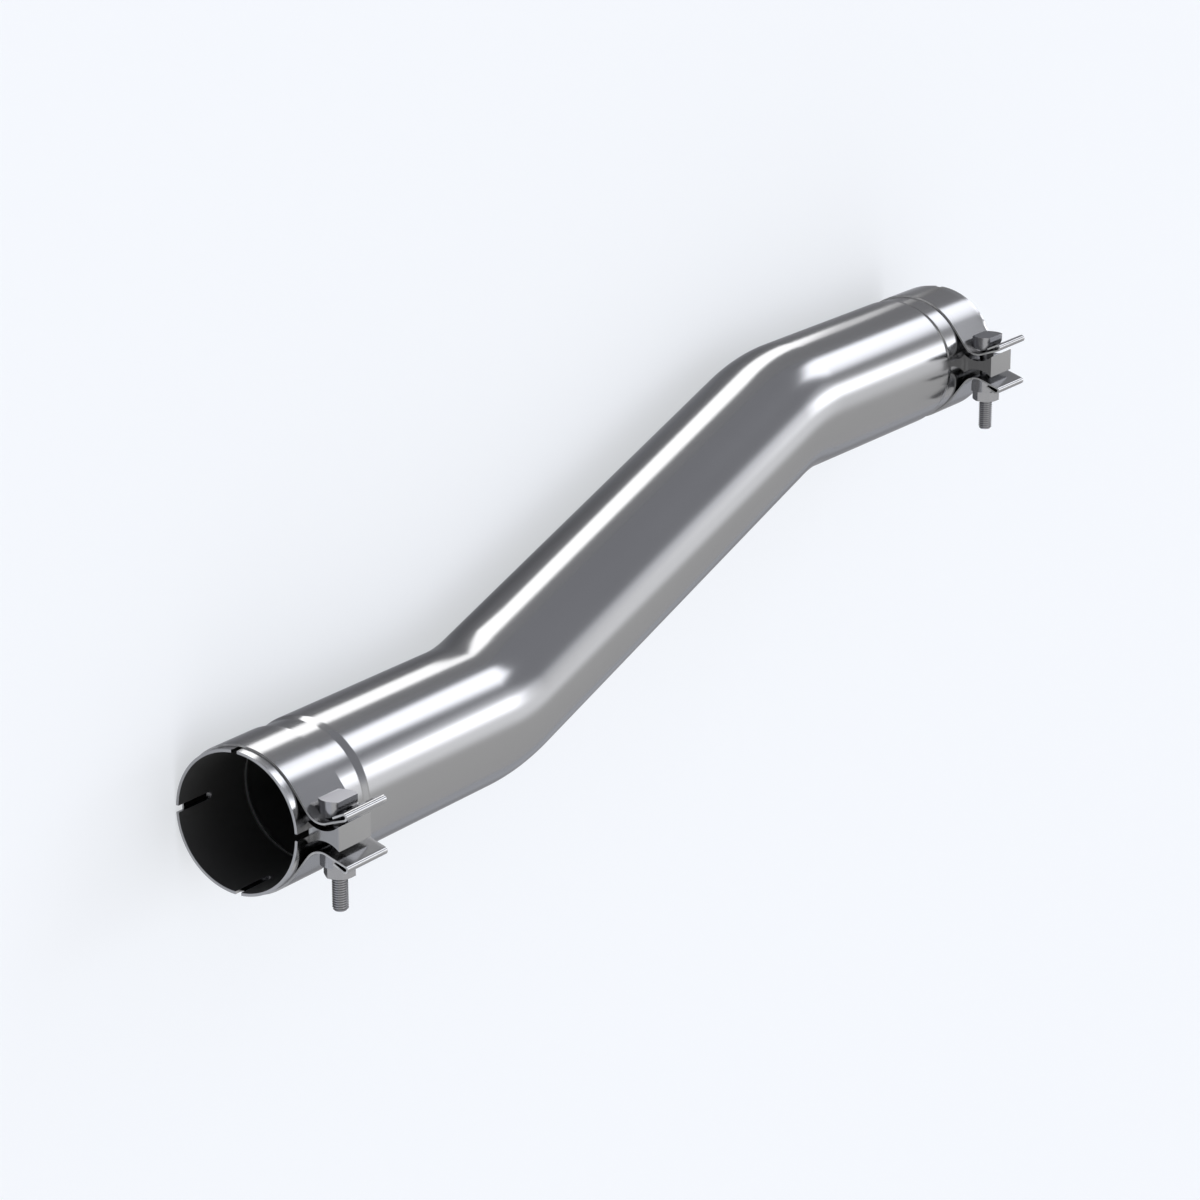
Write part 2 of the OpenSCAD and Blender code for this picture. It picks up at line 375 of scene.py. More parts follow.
def bent_pipe():
    """One tube, pulled and turned from its inlet mouth to its outlet, then walled and slotted."""
    bm = bmesh.new()
    bmesh.ops.create_circle(bm, segments=RING_POINTS, radius=SLEEVE_R)
    upright = Matrix.Rotation(math.pi / 2, 3, "Y")
    bmesh.ops.rotate(bm, verts=bm.verts, cent=(0, 0, 0), matrix=upright)
    edges = list(bm.edges)
    sleeve = SLEEVE_LENGTH - SHOULDER_EASE
    edges = pull(bm, edges, X * sleeve / SLEEVE_STEPS, SLEEVE_STEPS)
    edges, centre = shoulder(bm, edges, X * sleeve, X, True)
    straight = END_STRAIGHT - centre.x
    edges = pull(bm, edges, X * straight / STRAIGHT_STEPS, STRAIGHT_STEPS)
    edges = turn(bm, edges, (END_STRAIGHT, BEND_R, 0), Z, BEND_ANGLE, BEND_STEPS)
    along = Vector((math.cos(BEND_ANGLE), math.sin(BEND_ANGLE), 0))
    edges = pull(bm, edges, along * SLANT / SLANT_STEPS, SLANT_STEPS)
    hub = (LENGTH - END_STRAIGHT, OFFSET - BEND_R, 0)
    edges = turn(bm, edges, hub, Z, -BEND_ANGLE, BEND_STEPS)
    edges = pull(bm, edges, X * straight / STRAIGHT_STEPS, STRAIGHT_STEPS)
    start = Vector((LENGTH - END_STRAIGHT + straight, OFFSET, 0))
    edges, centre = shoulder(bm, edges, start, X, False)
    pull(bm, edges, X * sleeve / SLEEVE_STEPS, SLEEVE_STEPS)
    bmesh.ops.recalc_face_normals(bm, faces=bm.faces)
    outwards = 0
    for face in bm.faces:
        middle = face.calc_center_median()
        if middle.x < sleeve:
            outwards += face.normal.dot(Vector((0, middle.y, middle.z)))
    if outwards < 0:
        bmesh.ops.reverse_faces(bm, faces=bm.faces)
    obj = linked(bm, "bent_pipe")
    wall = obj.modifiers.new("wall", "SOLIDIFY")
    wall.thickness = WALL
    wall.offset = -1
    wall.use_even_offset = True
    wall.material_offset = 1
    obj.data.materials.append(pipe_steel)
    obj.data.materials.append(inner_steel_painted_shade)
    apply_modifiers(obj)
    to_outlet = Matrix.Translation((LENGTH, OFFSET, 0)) @ Matrix.Rotation(math.pi, 4, "Z")
    cutters = []
    for i in range(SLOT_COUNT):
        angle = i * 2 * math.pi / SLOT_COUNT
        cutters.append(slot_cutter("slot", angle))
        far = slot_cutter("slot", angle)
        far.data.transform(to_outlet)
        cutters.append(far)
    combine(obj, "DIFFERENCE", *cutters)
    break_edges(obj, PIPE_BREAK, 50)
    shade(obj, 40)
    add_straightened(obj)
    return obj


def straightened(p):
    """Where a point of the pipe would be if its two bends were undone."""
    first = Vector((END_STRAIGHT, 0, 0))
    second = Vector((LENGTH - END_STRAIGHT, OFFSET, 0))
    arc = BEND_R * BEND_ANGLE
    hub = first + Vector((0, BEND_R, 0))
    turned = math.atan2(p.x - hub.x, hub.y - p.y)
    if p.x <= first.x:
        return p.copy()
    if turned <= BEND_ANGLE:
        radius = math.hypot(p.x - hub.x, p.y - hub.y)
        return Vector((first.x + BEND_R * turned, BEND_R - radius, p.z))
    hub = second - Vector((0, BEND_R, 0))
    left = math.atan2(hub.x - p.x, p.y - hub.y)
    if p.x >= second.x:
        return Vector((first.x + 2 * arc + SLANT + p.x - second.x, p.y - OFFSET, p.z))
    if left <= BEND_ANGLE:
        radius = math.hypot(p.x - hub.x, p.y - hub.y)
        return Vector((first.x + 2 * arc + SLANT - BEND_R * left, radius - BEND_R, p.z))
    foot = Vector((END_STRAIGHT + BEND_RUN, BEND_RISE, 0))
    along = Vector((math.cos(BEND_ANGLE), math.sin(BEND_ANGLE), 0))
    across = Vector((-along.y, along.x, 0))
    return Vector((first.x + arc + (p - foot).dot(along), (p - foot).dot(across), p.z))


def add_straightened(obj):
    """Gives the pipe the places that its polishing lines follow round the bends."""
    spots = obj.data.attributes.new("straightened", "FLOAT_VECTOR", "POINT")
    flat = []
    for v in obj.data.vertices:
        flat.extend(straightened(v.co))
    spots.data.foreach_set("vector", flat)


# The clamp

def bolt_rod(name, radius, start, end, points):
    """A round rod along the bolt's axis, between two places on Y."""
    return rod(name, radius, (0, start, BOLT_HEIGHT), (0, end, BOLT_HEIGHT), points)


def clamp_band(name):
    """One strip: half of it is turned and pulled from below the pipe, then mirrored."""
    bm = bmesh.new()
    places = [BAND_WIDTH * (i / BAND_COLUMNS - 0.5) for i in range(BAND_COLUMNS + 1)]
    row = [bm.verts.new((x, 0, -RING_R)) for x in places]
    edges = [bm.edges.new(pair) for pair in zip(row, row[1:])]
    edges = turn(bm, edges, (0, 0, 0), X, math.pi - GAP_ANGLE, RING_STEPS)
    run = Vector((0, -math.cos(GAP_ANGLE), math.sin(GAP_ANGLE))) * RUN_LENGTH
    edges = pull(bm, edges, run / RUN_STEPS, RUN_STEPS)
    hub = (0, CRADLE_OFFSET, CRADLE_HEIGHT)
    edges = turn(bm, edges, hub, -X, math.pi / 2 - GAP_ANGLE + EAR_LEAN, CRADLE_STEPS)
    top = CRADLE_HEIGHT + CRADLE_R * math.sin(EAR_LEAN)
    foot = EAR_TIP - HEM_R * (1 - math.sin(EAR_LEAN)) - SHEET / 2
    rise = Vector((0, math.sin(EAR_LEAN), math.cos(EAR_LEAN)))
    straight = (foot - top) / math.cos(EAR_LEAN)
    edges = pull(bm, edges, rise * straight / EAR_STEPS, EAR_STEPS)
    at = Vector((0, CRADLE_OFFSET - CRADLE_R * math.cos(EAR_LEAN), top)) + rise * straight
    hub = at + Vector((0, math.cos(EAR_LEAN), -math.sin(EAR_LEAN))) * HEM_R
    edges = turn(bm, edges, hub, -X, HEM_TURN, HEM_STEPS)
    back = Matrix.Rotation(-HEM_TURN, 3, "X") @ rise
    pull(bm, edges, back * HEM_RETURN / RETURN_STEPS, RETURN_STEPS)
    half = list(bm.verts) + list(bm.edges) + list(bm.faces)
    bmesh.ops.mirror(bm, geom=half, matrix=Matrix.Identity(4), merge_dist=MERGE, axis="Y")
    obj = finished(bm, name)
    wall = obj.modifiers.new("sheet", "SOLIDIFY")
    wall.thickness = SHEET
    wall.offset = 0
    wall.use_even_offset = True
    apply_modifiers(obj)
    past = 2 * CRADLE_OFFSET
    combine(obj, "DIFFERENCE", bolt_rod("hole", BOLT_HOLE_R, -past, past, HOLE_POINTS))
    break_edges(obj, SHEET_BREAK, 40, 3)
    shade(obj, 40)
    for steel_part in (band_steel, edge_steel):
        obj.data.materials.append(steel_part)
    # The strip's two sheared sides face along X
    for face in obj.data.polygons:
        face.material_index = int(abs(face.normal.x) > 0.9)
    return obj


def reaction_block(name):
    """The block between the ears, with a hollow foot and two hollow flanks."""
    half = BLOCK_LENGTH / 2
    low = (-half, -BLOCK_WIDTH / 2, 0.8 * SLEEVE_R)
    obj = block(name, low, (half, BLOCK_WIDTH / 2, BLOCK_TOP))
    past = BLOCK_LENGTH
    tools = [rod("foot", SLEEVE_R, (-past, 0, 0), (past, 0, 0), 256)]
    for side in (-1, 1):
        y = side * (BLOCK_WAIST / 2 + BLOCK_HOLLOW)
        tools.append(rod("hollow", BLOCK_HOLLOW, (-past, y, BOLT_HEIGHT),
                         (past, y, BOLT_HEIGHT), 128))
    tools.append(bolt_rod("hole", BOLT_HOLE_R, -past, past, HOLE_POINTS))
    combine(obj, "DIFFERENCE", *tools)
    break_edges(obj, BLOCK_BREAK, 35)
    shade(obj, 35)
    return obj


def half_barrel(name, side, facing):
    """Half barrel whose round side faces the pipe's middle; facing is +1 or -1 along Y."""
    bm = bmesh.new()
    first = bm.verts.new((0, 0, BARREL_R))
    out = bmesh.ops.spin(bm, geom=[first], cent=(0, 0, 0), axis=X, dvec=(0, 0, 0),
                         angle=math.pi, steps=40)
    last = verts_of(out["geom_last"])[0]
    corners = [bm.verts.new((0, side, -BARREL_R)), bm.verts.new((0, side, BARREL_R))]
    bm.edges.new((last, corners[0]))
    bm.edges.new(corners)
    bm.edges.new((corners[1], first))
    face = bmesh.ops.contextual_create(bm, geom=bm.edges)["faces"]
    lift = bmesh.ops.extrude_face_region(bm, geom=face)["geom"]
    reach = 0.6 * HEAD_LENGTH
    bmesh.ops.translate(bm, verts=verts_of(lift), vec=(2 * reach, 0, 0))
    bmesh.ops.translate(bm, verts=bm.verts, vec=(-reach, 0, 0))
    bmesh.ops.scale(bm, verts=bm.verts, vec=(1, facing, 1))
    bmesh.ops.translate(bm, verts=bm.verts, vec=(0, facing * BARREL_OFFSET, BOLT_HEIGHT))
    obj = finished(bm, name)
    past = 2 * NUT_SEAT
    combine(obj, "INTERSECT", bolt_rod("ends", HEAD_LENGTH / 2, -past, past, 128))
    return obj


def threaded_end(name, start, length):
    """A real helical thread that runs from start towards -Y, with a tapered tip."""
    steps = 40
    turns = round(length / THREAD_PITCH) + 2
    root = BOLT_R - THREAD_DEPTH
    # One turn's outline, as radius and share of the pitch
    profile = ((root, 0), (root, 0.25), (BOLT_R, 0.5625), (BOLT_R, 0.6875), (root, 1))
    bm = bmesh.new()
    row = [bm.verts.new((r, 0, share * THREAD_PITCH)) for r, share in profile]
    edges = [bm.edges.new(pair) for pair in zip(row, row[1:])]
    bmesh.ops.spin(bm, geom=edges, cent=(0, 0, 0), axis=Z, dvec=(0, 0, THREAD_PITCH / steps),
                   angle=turns * 2 * math.pi, steps=turns * steps)
    bmesh.ops.remove_doubles(bm, verts=bm.verts, dist=SPECK_MERGE)
    bmesh.ops.translate(bm, verts=bm.verts, vec=(0, 0, -THREAD_PITCH))
    for height, facing in ((0, -1), (length, 1)):
        geom = list(bm.verts) + list(bm.edges) + list(bm.faces)
        cut = bmesh.ops.bisect_plane(bm, geom=geom, plane_co=(0, 0, height),
                                     plane_no=(0, 0, facing), clear_outer=True, dist=CUT_MERGE)
        rim = [e for e in edges_of(cut["geom_cut"]) if e.is_boundary]
        bmesh.ops.holes_fill(bm, edges=rim, sides=0)
    for v in bm.verts:
        out = math.hypot(v.co.x, v.co.y)
        allowed = BOLT_R - max(0, v.co.z - (length - TIP_TAPER)) * TIP_SLOPE
        if out > allowed:
            v.co.x *= allowed / out
            v.co.y *= allowed / out
    bmesh.ops.rotate(bm, verts=bm.verts, cent=(0, 0, 0), matrix=ALONG_BOLT)
    bmesh.ops.translate(bm, verts=bm.verts, vec=(0, start, BOLT_HEIGHT))
    return finished(bm, name)


def clamp_bolt(name):
    """Half-barrel head, plain shank and threaded end. The head's end is duller than the rest."""
    thread_start = BARREL_OFFSET - BARREL_R - BOLT_LENGTH + THREAD_LENGTH
    obj = half_barrel(name, HEAD_SIDE, 1)
    break_edges(obj, HEAD_BREAK, 30, 3)
    merge_specks(obj)
    shank = bolt_rod("shank", BOLT_R, BARREL_OFFSET, thread_start, HOLE_POINTS)
    combine(obj, "UNION", shank)
    thread = threaded_end("thread", thread_start + THREAD_SEAT, THREAD_LENGTH + THREAD_SEAT)
    bm = bmesh.new()
    bm.from_mesh(obj.data)
    bm.from_mesh(thread.data)
    bm.to_mesh(obj.data)
    bm.free()
    used = thread.data
    bpy.data.objects.remove(thread)
    bpy.data.meshes.remove(used)
    shade(obj, 30)
    for steel_part in (fastener_steel, head_end_steel):
        obj.data.materials.append(steel_part)
    for face in obj.data.polygons:
        face.material_index = int(face.normal.y > 0.99 and face.center.y > BARREL_OFFSET)
    return obj


def barrel_washer(name):
    """Half-barrel washer, which rests in the other ear's cradle."""
    obj = half_barrel(name, WASHER_SIDE, -1)
    hole = bolt_rod("hole", BOLT_HOLE_R, -2 * NUT_SEAT, 0, HOLE_POINTS)
    combine(obj, "DIFFERENCE", hole)
    break_edges(obj, WASHER_BREAK, 30, 3)
    shade(obj, 35)
    return obj


def turned_nut(corners):
    """The round shape that takes the nut's corners off at both of its faces."""
    drop = 0.75 * (corners - NUT_FLATS) / 2 * math.tan(math.radians(30))
    flat_r = 0.485 * NUT_FLATS
    wide_r = corners / 2 + 0.1 * MM
    bm = bmesh.new()
    profile = ((0, 0), (flat_r, 0), (wide_r, drop),
               (wide_r, NUT_HEIGHT - drop), (flat_r, NUT_HEIGHT), (0, NUT_HEIGHT))
    row = [bm.verts.new((r, 0, z)) for r, z in profile]
    edges = [bm.edges.new(pair) for pair in zip(row, row[1:])]
    bmesh.ops.spin(bm, geom=edges, cent=(0, 0, 0), axis=Z, dvec=(0, 0, 0), angle=2 * math.pi,
                   steps=96, use_merge=True)
    bmesh.ops.rotate(bm, verts=bm.verts, cent=(0, 0, 0), matrix=ALONG_BOLT)
    bmesh.ops.translate(bm, verts=bm.verts, vec=(0, -NUT_SEAT, BOLT_HEIGHT))
    return finished(bm, "turned")


def clamp_nut(name):
    """Hexagon nut with its corners turned off at both faces."""
    corners = NUT_FLATS / math.cos(math.pi / 6)
    bm = bmesh.new()
    bmesh.ops.create_cone(bm, cap_ends=True, segments=6, radius1=corners / 2,
                          radius2=corners / 2, depth=NUT_HEIGHT)
    facing = Matrix.Rotation(math.pi / 6 + NUT_TURN, 3, "Z")
    bmesh.ops.rotate(bm, verts=bm.verts, cent=(0, 0, 0), matrix=facing)
    bmesh.ops.rotate(bm, verts=bm.verts, cent=(0, 0, 0), matrix=ALONG_BOLT)
    bmesh.ops.translate(bm, verts=bm.verts, vec=(0, -NUT_SEAT - NUT_HEIGHT / 2, BOLT_HEIGHT))
    obj = finished(bm, name)
    combine(obj, "INTERSECT", turned_nut(corners))
    hole = bolt_rod("hole", BOLT_R + NUT_PLAY, -2 * NUT_SEAT, 0, HOLE_POINTS)
    combine(obj, "DIFFERENCE", hole)
    break_edges(obj, NUT_BREAK, 25)
    shade(obj, 30)
    return obj


# Materials

def wire(tree, source, target):
    """Joins one node's output to another node's input."""
    tree.links.new(source, target)


def maths(tree, operation, *values):
    """One step of arithmetic on numbers and outputs, as a node."""
    n = tree.nodes.new("ShaderNodeMath")
    n.operation = operation
    for i, v in enumerate(values):
        if isinstance(v, (int, float)):
            n.inputs[i].default_value = v
        else:
            wire(tree, v, n.inputs[i])
    return n.outputs[0]


def smooth_step(tree, value, low, high, first=0.0, last=1.0):
    """Goes softly from first to last while a value goes from low to high."""
    n = tree.nodes.new("ShaderNodeMapRange")
    n.interpolation_type = "SMOOTHSTEP"
    wire(tree, value, n.inputs["Value"])
    for socket, number in zip(("From Min", "From Max", "To Min", "To Max"), (low, high, first, last)):
        n.inputs[socket].default_value = number
    return n.outputs[0]


def noise(tree, vector, scale, detail, roughness):
    """Noise that is stretched by a scale of its own in X, Y and Z."""
    mapping = tree.nodes.new("ShaderNodeMapping")
    wire(tree, vector, mapping.inputs["Vector"])
    mapping.inputs["Scale"].default_value = scale
    n = tree.nodes.new("ShaderNodeTexNoise")
    wire(tree, mapping.outputs[0], n.inputs["Vector"])
    n.inputs["Scale"].default_value = 1
    n.inputs["Detail"].default_value = detail
    n.inputs["Roughness"].default_value = roughness
    return n.outputs[0]


def around_nothing(tree, value, amount):
    """A noise moved to lie around nothing and brought to an amount."""
    return maths(tree, "MULTIPLY", maths(tree, "SUBTRACT", value, 0.5), amount)


def worked_steel_group():
    """Polishing lines, faint smudges and rubbed edges on bare steel."""
    tree = bpy.data.node_groups.new("worked_steel", "ShaderNodeTree")
    for name, kind in (("Vector", "Vector"), ("Colour", "Color"), ("Roughness", "Float"),
                       ("Line Depth", "Float"), ("Smudge", "Float"), ("Edge Wear", "Float")):
        tree.interface.new_socket(name, in_out="INPUT", socket_type="NodeSocket" + kind)
    for name, kind in (("Colour", "Color"), ("Roughness", "Float"), ("Height", "Float")):
        tree.interface.new_socket(name, in_out="OUTPUT", socket_type="NodeSocket" + kind)
    start = tree.nodes.new("NodeGroupInput")
    end = tree.nodes.new("NodeGroupOutput")
    vector = start.outputs["Vector"]
    lines = noise(tree, vector, LINE_SCALE, detail=3, roughness=0.6)
    smudges = noise(tree, vector, SMUDGE_SCALE, detail=3, roughness=0.55)
    spots = noise(tree, vector, SPOT_SCALE, detail=2, roughness=0.6)
    geometry = tree.nodes.new("ShaderNodeNewGeometry")
    edge = smooth_step(tree, geometry.outputs["Pointiness"], *WORN_POINTINESS)
    edge = maths(tree, "MULTIPLY", edge, start.outputs["Edge Wear"])
    smudge = around_nothing(tree, smudges, start.outputs["Smudge"])
    rough = maths(tree, "ADD", start.outputs["Roughness"], smudge)
    rough = maths(tree, "ADD", rough, around_nothing(tree, lines, LINE_ROUGHNESS))
    rough = maths(tree, "ADD", rough, maths(tree, "MULTIPLY", edge, WORN_ROUGHNESS))
    wire(tree, rough, end.inputs["Roughness"])
    tone = maths(tree, "ADD", 1.0, smudge)
    tone = maths(tree, "ADD", tone, around_nothing(tree, spots, SPOT_TONE))
    tone = maths(tree, "ADD", tone, edge)
    mix = tree.nodes.new("ShaderNodeVectorMath")
    mix.operation = "SCALE"
    wire(tree, start.outputs["Colour"], mix.inputs[0])
    wire(tree, tone, mix.inputs["Scale"])
    wire(tree, mix.outputs[0], end.inputs["Colour"])
    height = maths(tree, "MULTIPLY", lines, start.outputs["Line Depth"])
    wire(tree, height, end.inputs["Height"])
    return tree


def steel(name, colour, roughness, line_depth=0.03, smudge=0.08, edge_wear=0.3, attribute=None):
    """Bare steel that reads an attribute of the piece, or Object coordinates without one."""
    material = bpy.data.materials.new(name)
    material.use_nodes = True
    tree = material.node_tree
    shader = tree.nodes["Principled BSDF"]
    if attribute:
        source = tree.nodes.new("ShaderNodeAttribute")
        source.attribute_name = attribute
        vector = source.outputs["Vector"]
    else:
        vector = tree.nodes.new("ShaderNodeTexCoord").outputs["Object"]
    work = tree.nodes.new("ShaderNodeGroup")
    work.node_tree = worked_steel
    wire(tree, vector, work.inputs["Vector"])
    for socket, value in (("Colour", (*colour, 1)), ("Roughness", roughness),
                          ("Line Depth", line_depth), ("Smudge", smudge), ("Edge Wear", edge_wear)):
        work.inputs[socket].default_value = value
    bump = tree.nodes.new("ShaderNodeBump")
    bump.inputs["Distance"].default_value = BUMP_DEPTH
    bump.inputs["Strength"].default_value = 1
    wire(tree, work.outputs["Height"], bump.inputs["Height"])
    wire(tree, work.outputs["Colour"], shader.inputs["Base Color"])
    wire(tree, work.outputs["Roughness"], shader.inputs["Roughness"])
    wire(tree, bump.outputs["Normal"], shader.inputs["Normal"])
    shader.inputs["Metallic"].default_value = 1
    shader.inputs["Specular Tint"].default_value = GRAZING_TINT
    return material


def paint_crease_highlight(material):
    """Paints a highlight on the inside along the crease where each sleeve begins."""
    tree = material.node_tree
    shader = tree.nodes["Principled BSDF"]
    colour = shader.inputs["Base Color"].links[0].from_socket
    split = tree.nodes.new("ShaderNodeSeparateXYZ")
    wire(tree, tree.nodes["Attribute"].outputs["Vector"], split.inputs[0])
    middle = END_STRAIGHT + BEND_R * BEND_ANGLE + SLANT / 2
    from_middle = maths(tree, "ABSOLUTE", maths(tree, "SUBTRACT", split.outputs[0], middle))
    past_crease = maths(tree, "SUBTRACT", from_middle, middle - SLEEVE_LENGTH)
    from_crease = maths(tree, "ABSOLUTE", past_crease)
    # Painted highlight: a pale colour mixed into the inside's colour near each crease
    mix = tree.nodes.new("ShaderNodeMix")
    mix.data_type = "RGBA"
    wire(tree, smooth_step(tree, from_crease, *CREASE_HIGHLIGHT_EDGE, 1, 0), mix.inputs["Factor"])
    wire(tree, colour, mix.inputs["A"])
    mix.inputs["B"].default_value = CREASE_HIGHLIGHT_COLOUR
    wire(tree, mix.outputs["Result"], shader.inputs["Base Color"])


# The studio

def add_camera():
    """The photograph's camera, which is rolled because the pipe lies flat here."""
    data = bpy.data.cameras.new("camera")
    data.lens = LENS_MM
    data.sensor_width = SENSOR_MM
    data.clip_end = FAR_CLIP
    cam = bpy.data.objects.new("camera", data)
    bpy.context.scene.collection.objects.link(cam)
    aim = Matrix.Rotation(CAMERA_AZIMUTH - math.pi / 2, 4, "Z")
    aim = aim @ Matrix.Rotation(CAMERA_ELEVATION + math.pi / 2, 4, "X")
    aim = aim @ Matrix.Rotation(CAMERA_ROLL, 4, "Z")
    cam.matrix_world = Matrix.Translation(CAMERA_AT) @ aim
    bpy.context.scene.camera = cam


def add_world():
    """A pale round studio with a dim side, three soft boxes and a soft overhead, by direction."""
    world = bpy.data.worlds.new("studio")
    bpy.context.scene.world = world
    world.use_nodes = True
    tree = world.node_tree
    tree.nodes.clear()
    direction = tree.nodes.new("ShaderNodeTexCoord").outputs["Generated"]
    split = tree.nodes.new("ShaderNodeSeparateXYZ")
    wire(tree, direction, split.inputs[0])
    azimuth = maths(tree, "ARCTAN2", split.outputs[1], split.outputs[0])
    azimuth = maths(tree, "MULTIPLY", azimuth, 180 / math.pi)
    elevation = maths(tree, "ARCSINE", split.outputs[2])
    elevation = maths(tree, "MULTIPLY", elevation, 180 / math.pi)

    def soft_box(level, side, rise, soft, side_lean=0, rise_lean=0):
        """Bright between two azimuths and two elevations. A lean slants its far and low edges."""
        right = maths(tree, "SUBTRACT", azimuth, maths(tree, "MULTIPLY", elevation, side_lean))
        lower = maths(tree, "SUBTRACT", elevation, maths(tree, "MULTIPLY", azimuth, rise_lean))
        out = smooth_step(tree, azimuth, side[0] - soft, side[0] + soft)
        for value, edge, ends in ((right, side[1], (1, 0)), (lower, rise[0], (0, 1)),
                                  (elevation, rise[1], (1, 0))):
            within = smooth_step(tree, value, edge - soft, edge + soft, *ends)
            out = maths(tree, "MULTIPLY", out, within)
        return maths(tree, "MULTIPLY", out, level)

    dim = smooth_step(tree, azimuth, *DIM_IN)
    dim = maths(tree, "MULTIPLY", dim, smooth_step(tree, azimuth, *DIM_OUT, 1, 0))
    base = tree.nodes.new("ShaderNodeMix")
    base.data_type = "RGBA"
    wire(tree, dim, base.inputs["Factor"])
    base.inputs["A"].default_value = OPEN_COLOUR
    base.inputs["B"].default_value = DIM_COLOUR
    boxes = soft_box(level=3.6, side=(26.2, 44), rise=(-18, 23), soft=3, rise_lean=0.6)
    slanted = soft_box(level=3.4, side=(5, 5.2), rise=(25, 40.8), soft=3.6, side_lean=0.42)
    broad = soft_box(level=0.98, side=(-11.5, 28), rise=(30, 50.5), soft=6)
    overhead = smooth_step(tree, elevation, *OVERHEAD_RISE, 0, OVERHEAD_LEVEL)
    for light in (slanted, broad, overhead):
        boxes = maths(tree, "ADD", boxes, light)
    glow = tree.nodes.new("ShaderNodeVectorMath")
    glow.operation = "MULTIPLY_ADD"
    wire(tree, boxes, glow.inputs[0])
    glow.inputs[1].default_value = BOX_COLOUR
    wire(tree, base.outputs["Result"], glow.inputs[2])
    background = tree.nodes.new("ShaderNodeBackground")
    wire(tree, glow.outputs[0], background.inputs["Color"])
    out = tree.nodes.new("ShaderNodeOutputWorld")
    wire(tree, background.outputs[0], out.inputs["Surface"])


def add_floor():
    """A pale floor. In the steel only, painted shade makes it darker beyond the pipe and beside it."""
    bm = bmesh.new()
    bmesh.ops.create_grid(bm, x_segments=1, y_segments=1, size=FLOOR_HALF)
    bmesh.ops.translate(bm, verts=bm.verts, vec=(0, 0, FLOOR_Z))
    floor = linked(bm, "floor")
    material = bpy.data.materials.new("pale_floor")
    material.use_nodes = True
    tree = material.node_tree
    shader = tree.nodes["Principled BSDF"]
    shader.inputs["Roughness"].default_value = 1
    shader.inputs["Specular IOR Level"].default_value = 0
    path = tree.nodes.new("ShaderNodeLightPath")
    reflected = maths(tree, "MAXIMUM", path.outputs["Is Glossy Ray"],
                      path.outputs["Is Transmission Ray"])
    split = tree.nodes.new("ShaderNodeSeparateXYZ")
    wire(tree, tree.nodes.new("ShaderNodeTexCoord").outputs["Object"], split.inputs[0])
    middle = smooth_step(tree, split.outputs[0], *MIDDLE_TURNS, 0, OFFSET)
    side = maths(tree, "SUBTRACT", split.outputs[1], middle)
    beyond = smooth_step(tree, side, *SHADE_BEYOND)
    beside = smooth_step(tree, side, *SHADE_BESIDE, 1, 0)
    beside = maths(tree, "MULTIPLY", beside, smooth_step(tree, side, *SHADE_BESIDE_END))
    past_mouth = smooth_step(tree, split.outputs[0], *SHADE_MOUTH)
    beside = maths(tree, "MULTIPLY", beside, past_mouth)
    painted_shade = maths(tree, "MAXIMUM", beyond, beside)
    # Painted shade: for reflected rays only, the floor's colour goes dark beyond and beside the pipe
    tone = tree.nodes.new("ShaderNodeMix")
    tone.data_type = "RGBA"
    wire(tree, maths(tree, "MULTIPLY", reflected, painted_shade), tone.inputs["Factor"])
    tone.inputs["A"].default_value = FLOOR_COLOUR
    tone.inputs["B"].default_value = FLOOR_PAINTED_SHADE
    wire(tree, tone.outputs["Result"], shader.inputs["Base Color"])
    glow = tree.nodes.new("ShaderNodeEmission")
    glow.inputs["Color"].default_value = FLOOR_GLOW
    seen = maths(tree, "MULTIPLY", path.outputs["Is Camera Ray"], SEEN_SHARE)
    # Reflected rays also see less of the floor's glow where its painted shade lies
    open_floor = maths(tree, "SUBTRACT", 1.0, painted_shade)
    mirrored = maths(tree, "MULTIPLY_ADD", open_floor, OPEN_SHARE, MIRRORED_SHARE)
    share = maths(tree, "ADD", seen, maths(tree, "MULTIPLY", reflected, mirrored))
    blend = tree.nodes.new("ShaderNodeMixShader")
    wire(tree, share, blend.inputs["Fac"])
    wire(tree, shader.outputs[0], blend.inputs[1])
    wire(tree, glow.outputs[0], blend.inputs[2])
    wire(tree, blend.outputs[0], tree.nodes["Material Output"].inputs["Surface"])
    floor.data.materials.append(material)


def panel_corners():
    """The panel's near corners from inlet to outlet, then its far ones on the way back."""
    first_in = END_STRAIGHT + PANEL_PAST_FIRST
    first_out = first_in + BEND_RUN
    last_in = LENGTH - END_STRAIGHT - BEND_RUN + PANEL_PAST_SECOND
    last_out = last_in + BEND_RUN
    near = ((PANEL_START, PANEL_NEAR_INLET), (first_in, PANEL_NEAR_INLET),
            (first_out, PANEL_NEAR_SLANT[0]), (last_in, PANEL_NEAR_SLANT[1]),
            (last_out, PANEL_NEAR_OUTLET[0]), (last_out + PANEL_TAIL, PANEL_NEAR_OUTLET[1]),
            (PANEL_END, PANEL_NEAR_OUTLET[1]))
    far = ((PANEL_END, PANEL_FAR_OUTLET[1]), (last_out + 2 * PANEL_TAIL, PANEL_FAR_OUTLET[0]),
           (last_in, PANEL_FAR_SLANT), (first_out, PANEL_FAR_INLET), (PANEL_START, PANEL_FAR_INLET))
    return near + far


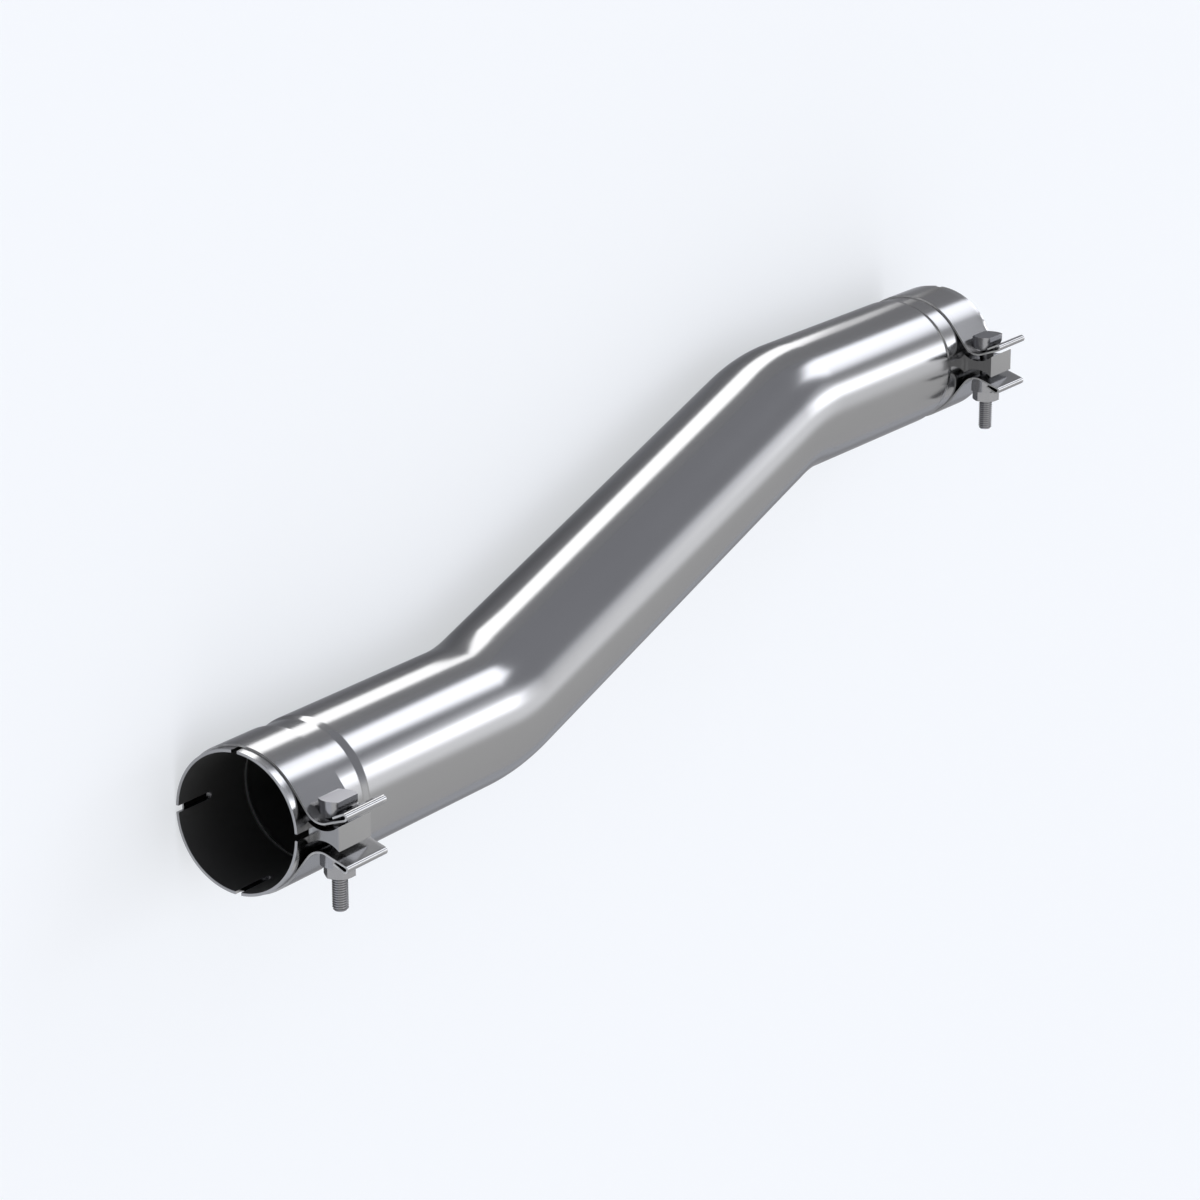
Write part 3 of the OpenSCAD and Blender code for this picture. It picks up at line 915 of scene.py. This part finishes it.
def add_panel():
    """A bright panel beside the pipe, seen in the steel only and never at a grazing angle."""
    bm = bmesh.new()
    bm.faces.new([bm.verts.new((x, y, FLOOR_Z + PANEL_LIFT)) for x, y in panel_corners()])
    panel = linked(bm, "panel")
    material = bpy.data.materials.new("bright_panel")
    material.use_nodes = True
    tree = material.node_tree
    tree.nodes.clear()
    split = tree.nodes.new("ShaderNodeSeparateXYZ")
    wire(tree, tree.nodes.new("ShaderNodeTexCoord").outputs["Object"], split.inputs[0])
    level = smooth_step(tree, split.outputs[0], *PANEL_FADE, PANEL_LEVEL, PANEL_FAR_LEVEL)
    drop = smooth_step(tree, split.outputs[0], *PANEL_END_FADE, 0, PANEL_END_DROP)
    level = maths(tree, "SUBTRACT", level, drop)
    glow = tree.nodes.new("ShaderNodeEmission")
    wire(tree, level, glow.inputs["Strength"])
    slope = tree.nodes.new("ShaderNodeLayerWeight").outputs["Facing"]
    blend = tree.nodes.new("ShaderNodeMixShader")
    clear = tree.nodes.new("ShaderNodeBsdfTransparent")
    wire(tree, smooth_step(tree, slope, *PANEL_SLOPE), blend.inputs["Fac"])
    wire(tree, glow.outputs[0], blend.inputs[1])
    wire(tree, clear.outputs[0], blend.inputs[2])
    out = tree.nodes.new("ShaderNodeOutputMaterial")
    wire(tree, blend.outputs[0], out.inputs["Surface"])
    panel.data.materials.append(material)
    panel.visible_camera = False
    panel.visible_diffuse = False
    panel.visible_shadow = False
    panel.visible_transmission = False


# The scene

add_camera()
add_world()
add_floor()
add_panel()

worked_steel = worked_steel_group()
pipe_steel = steel("polished_pipe_steel", (0.30, 0.30, 0.303), 0.17, line_depth=0.02,
                   smudge=0.05, edge_wear=0.25, attribute="straightened")
# The inside is rougher than the outside, and its darker colour is painted shade inside the pipe
inner_steel_painted_shade = steel("rough_inner_steel_painted_shade", (0.2, 0.2, 0.2), 0.55, line_depth=0.05,
                    smudge=0.1, edge_wear=0, attribute="straightened")
paint_crease_highlight(inner_steel_painted_shade)
band_steel = steel("polished_sheet_steel", (0.30, 0.30, 0.303), 0.17, line_depth=0.02, smudge=0.05)
block_steel = steel("machined_block_steel", (0.275, 0.275, 0.277), 0.16)
fastener_steel = steel("plated_fastener_steel", (0.32, 0.32, 0.33), 0.2)
head_end_steel = steel("dull_head_end_steel", (0.24, 0.24, 0.255), 0.42)
edge_steel = steel("sheared_edge_steel", (0.42, 0.42, 0.42), 0.5, line_depth=0.05, smudge=0.1)


def place(obj, where, body, node, material):
    """Puts a piece where its node is. A piece that has its own materials is given None."""
    obj.data.transform(Matrix.Translation(where))
    if material:
        obj.data.materials.clear()
        obj.data.materials.append(material)
    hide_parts(node)
    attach(obj, body)


place(bent_pipe(), (0, 0, 0), "root", "bypass_pipe", None)
for end, where in (("inlet", (CLAMP_INSET, 0, 0)), ("outlet", (LENGTH - CLAMP_INSET, OFFSET, 0))):
    for maker, piece, slot, material in ((clamp_band, "clamp_band", "band", None),
                                         (reaction_block, "reaction_block", "block", block_steel),
                                         (clamp_bolt, "clamp_bolt", "fastener", None),
                                         (barrel_washer, "barrel_washer", "fastener", fastener_steel),
                                         (clamp_nut, "clamp_nut", "fastener", fastener_steel)):
        place(maker(f"{end}_{piece}_made"), where, "root", f"{end}_{piece}", material)

bpy.context.scene.view_settings.view_transform = "Standard"
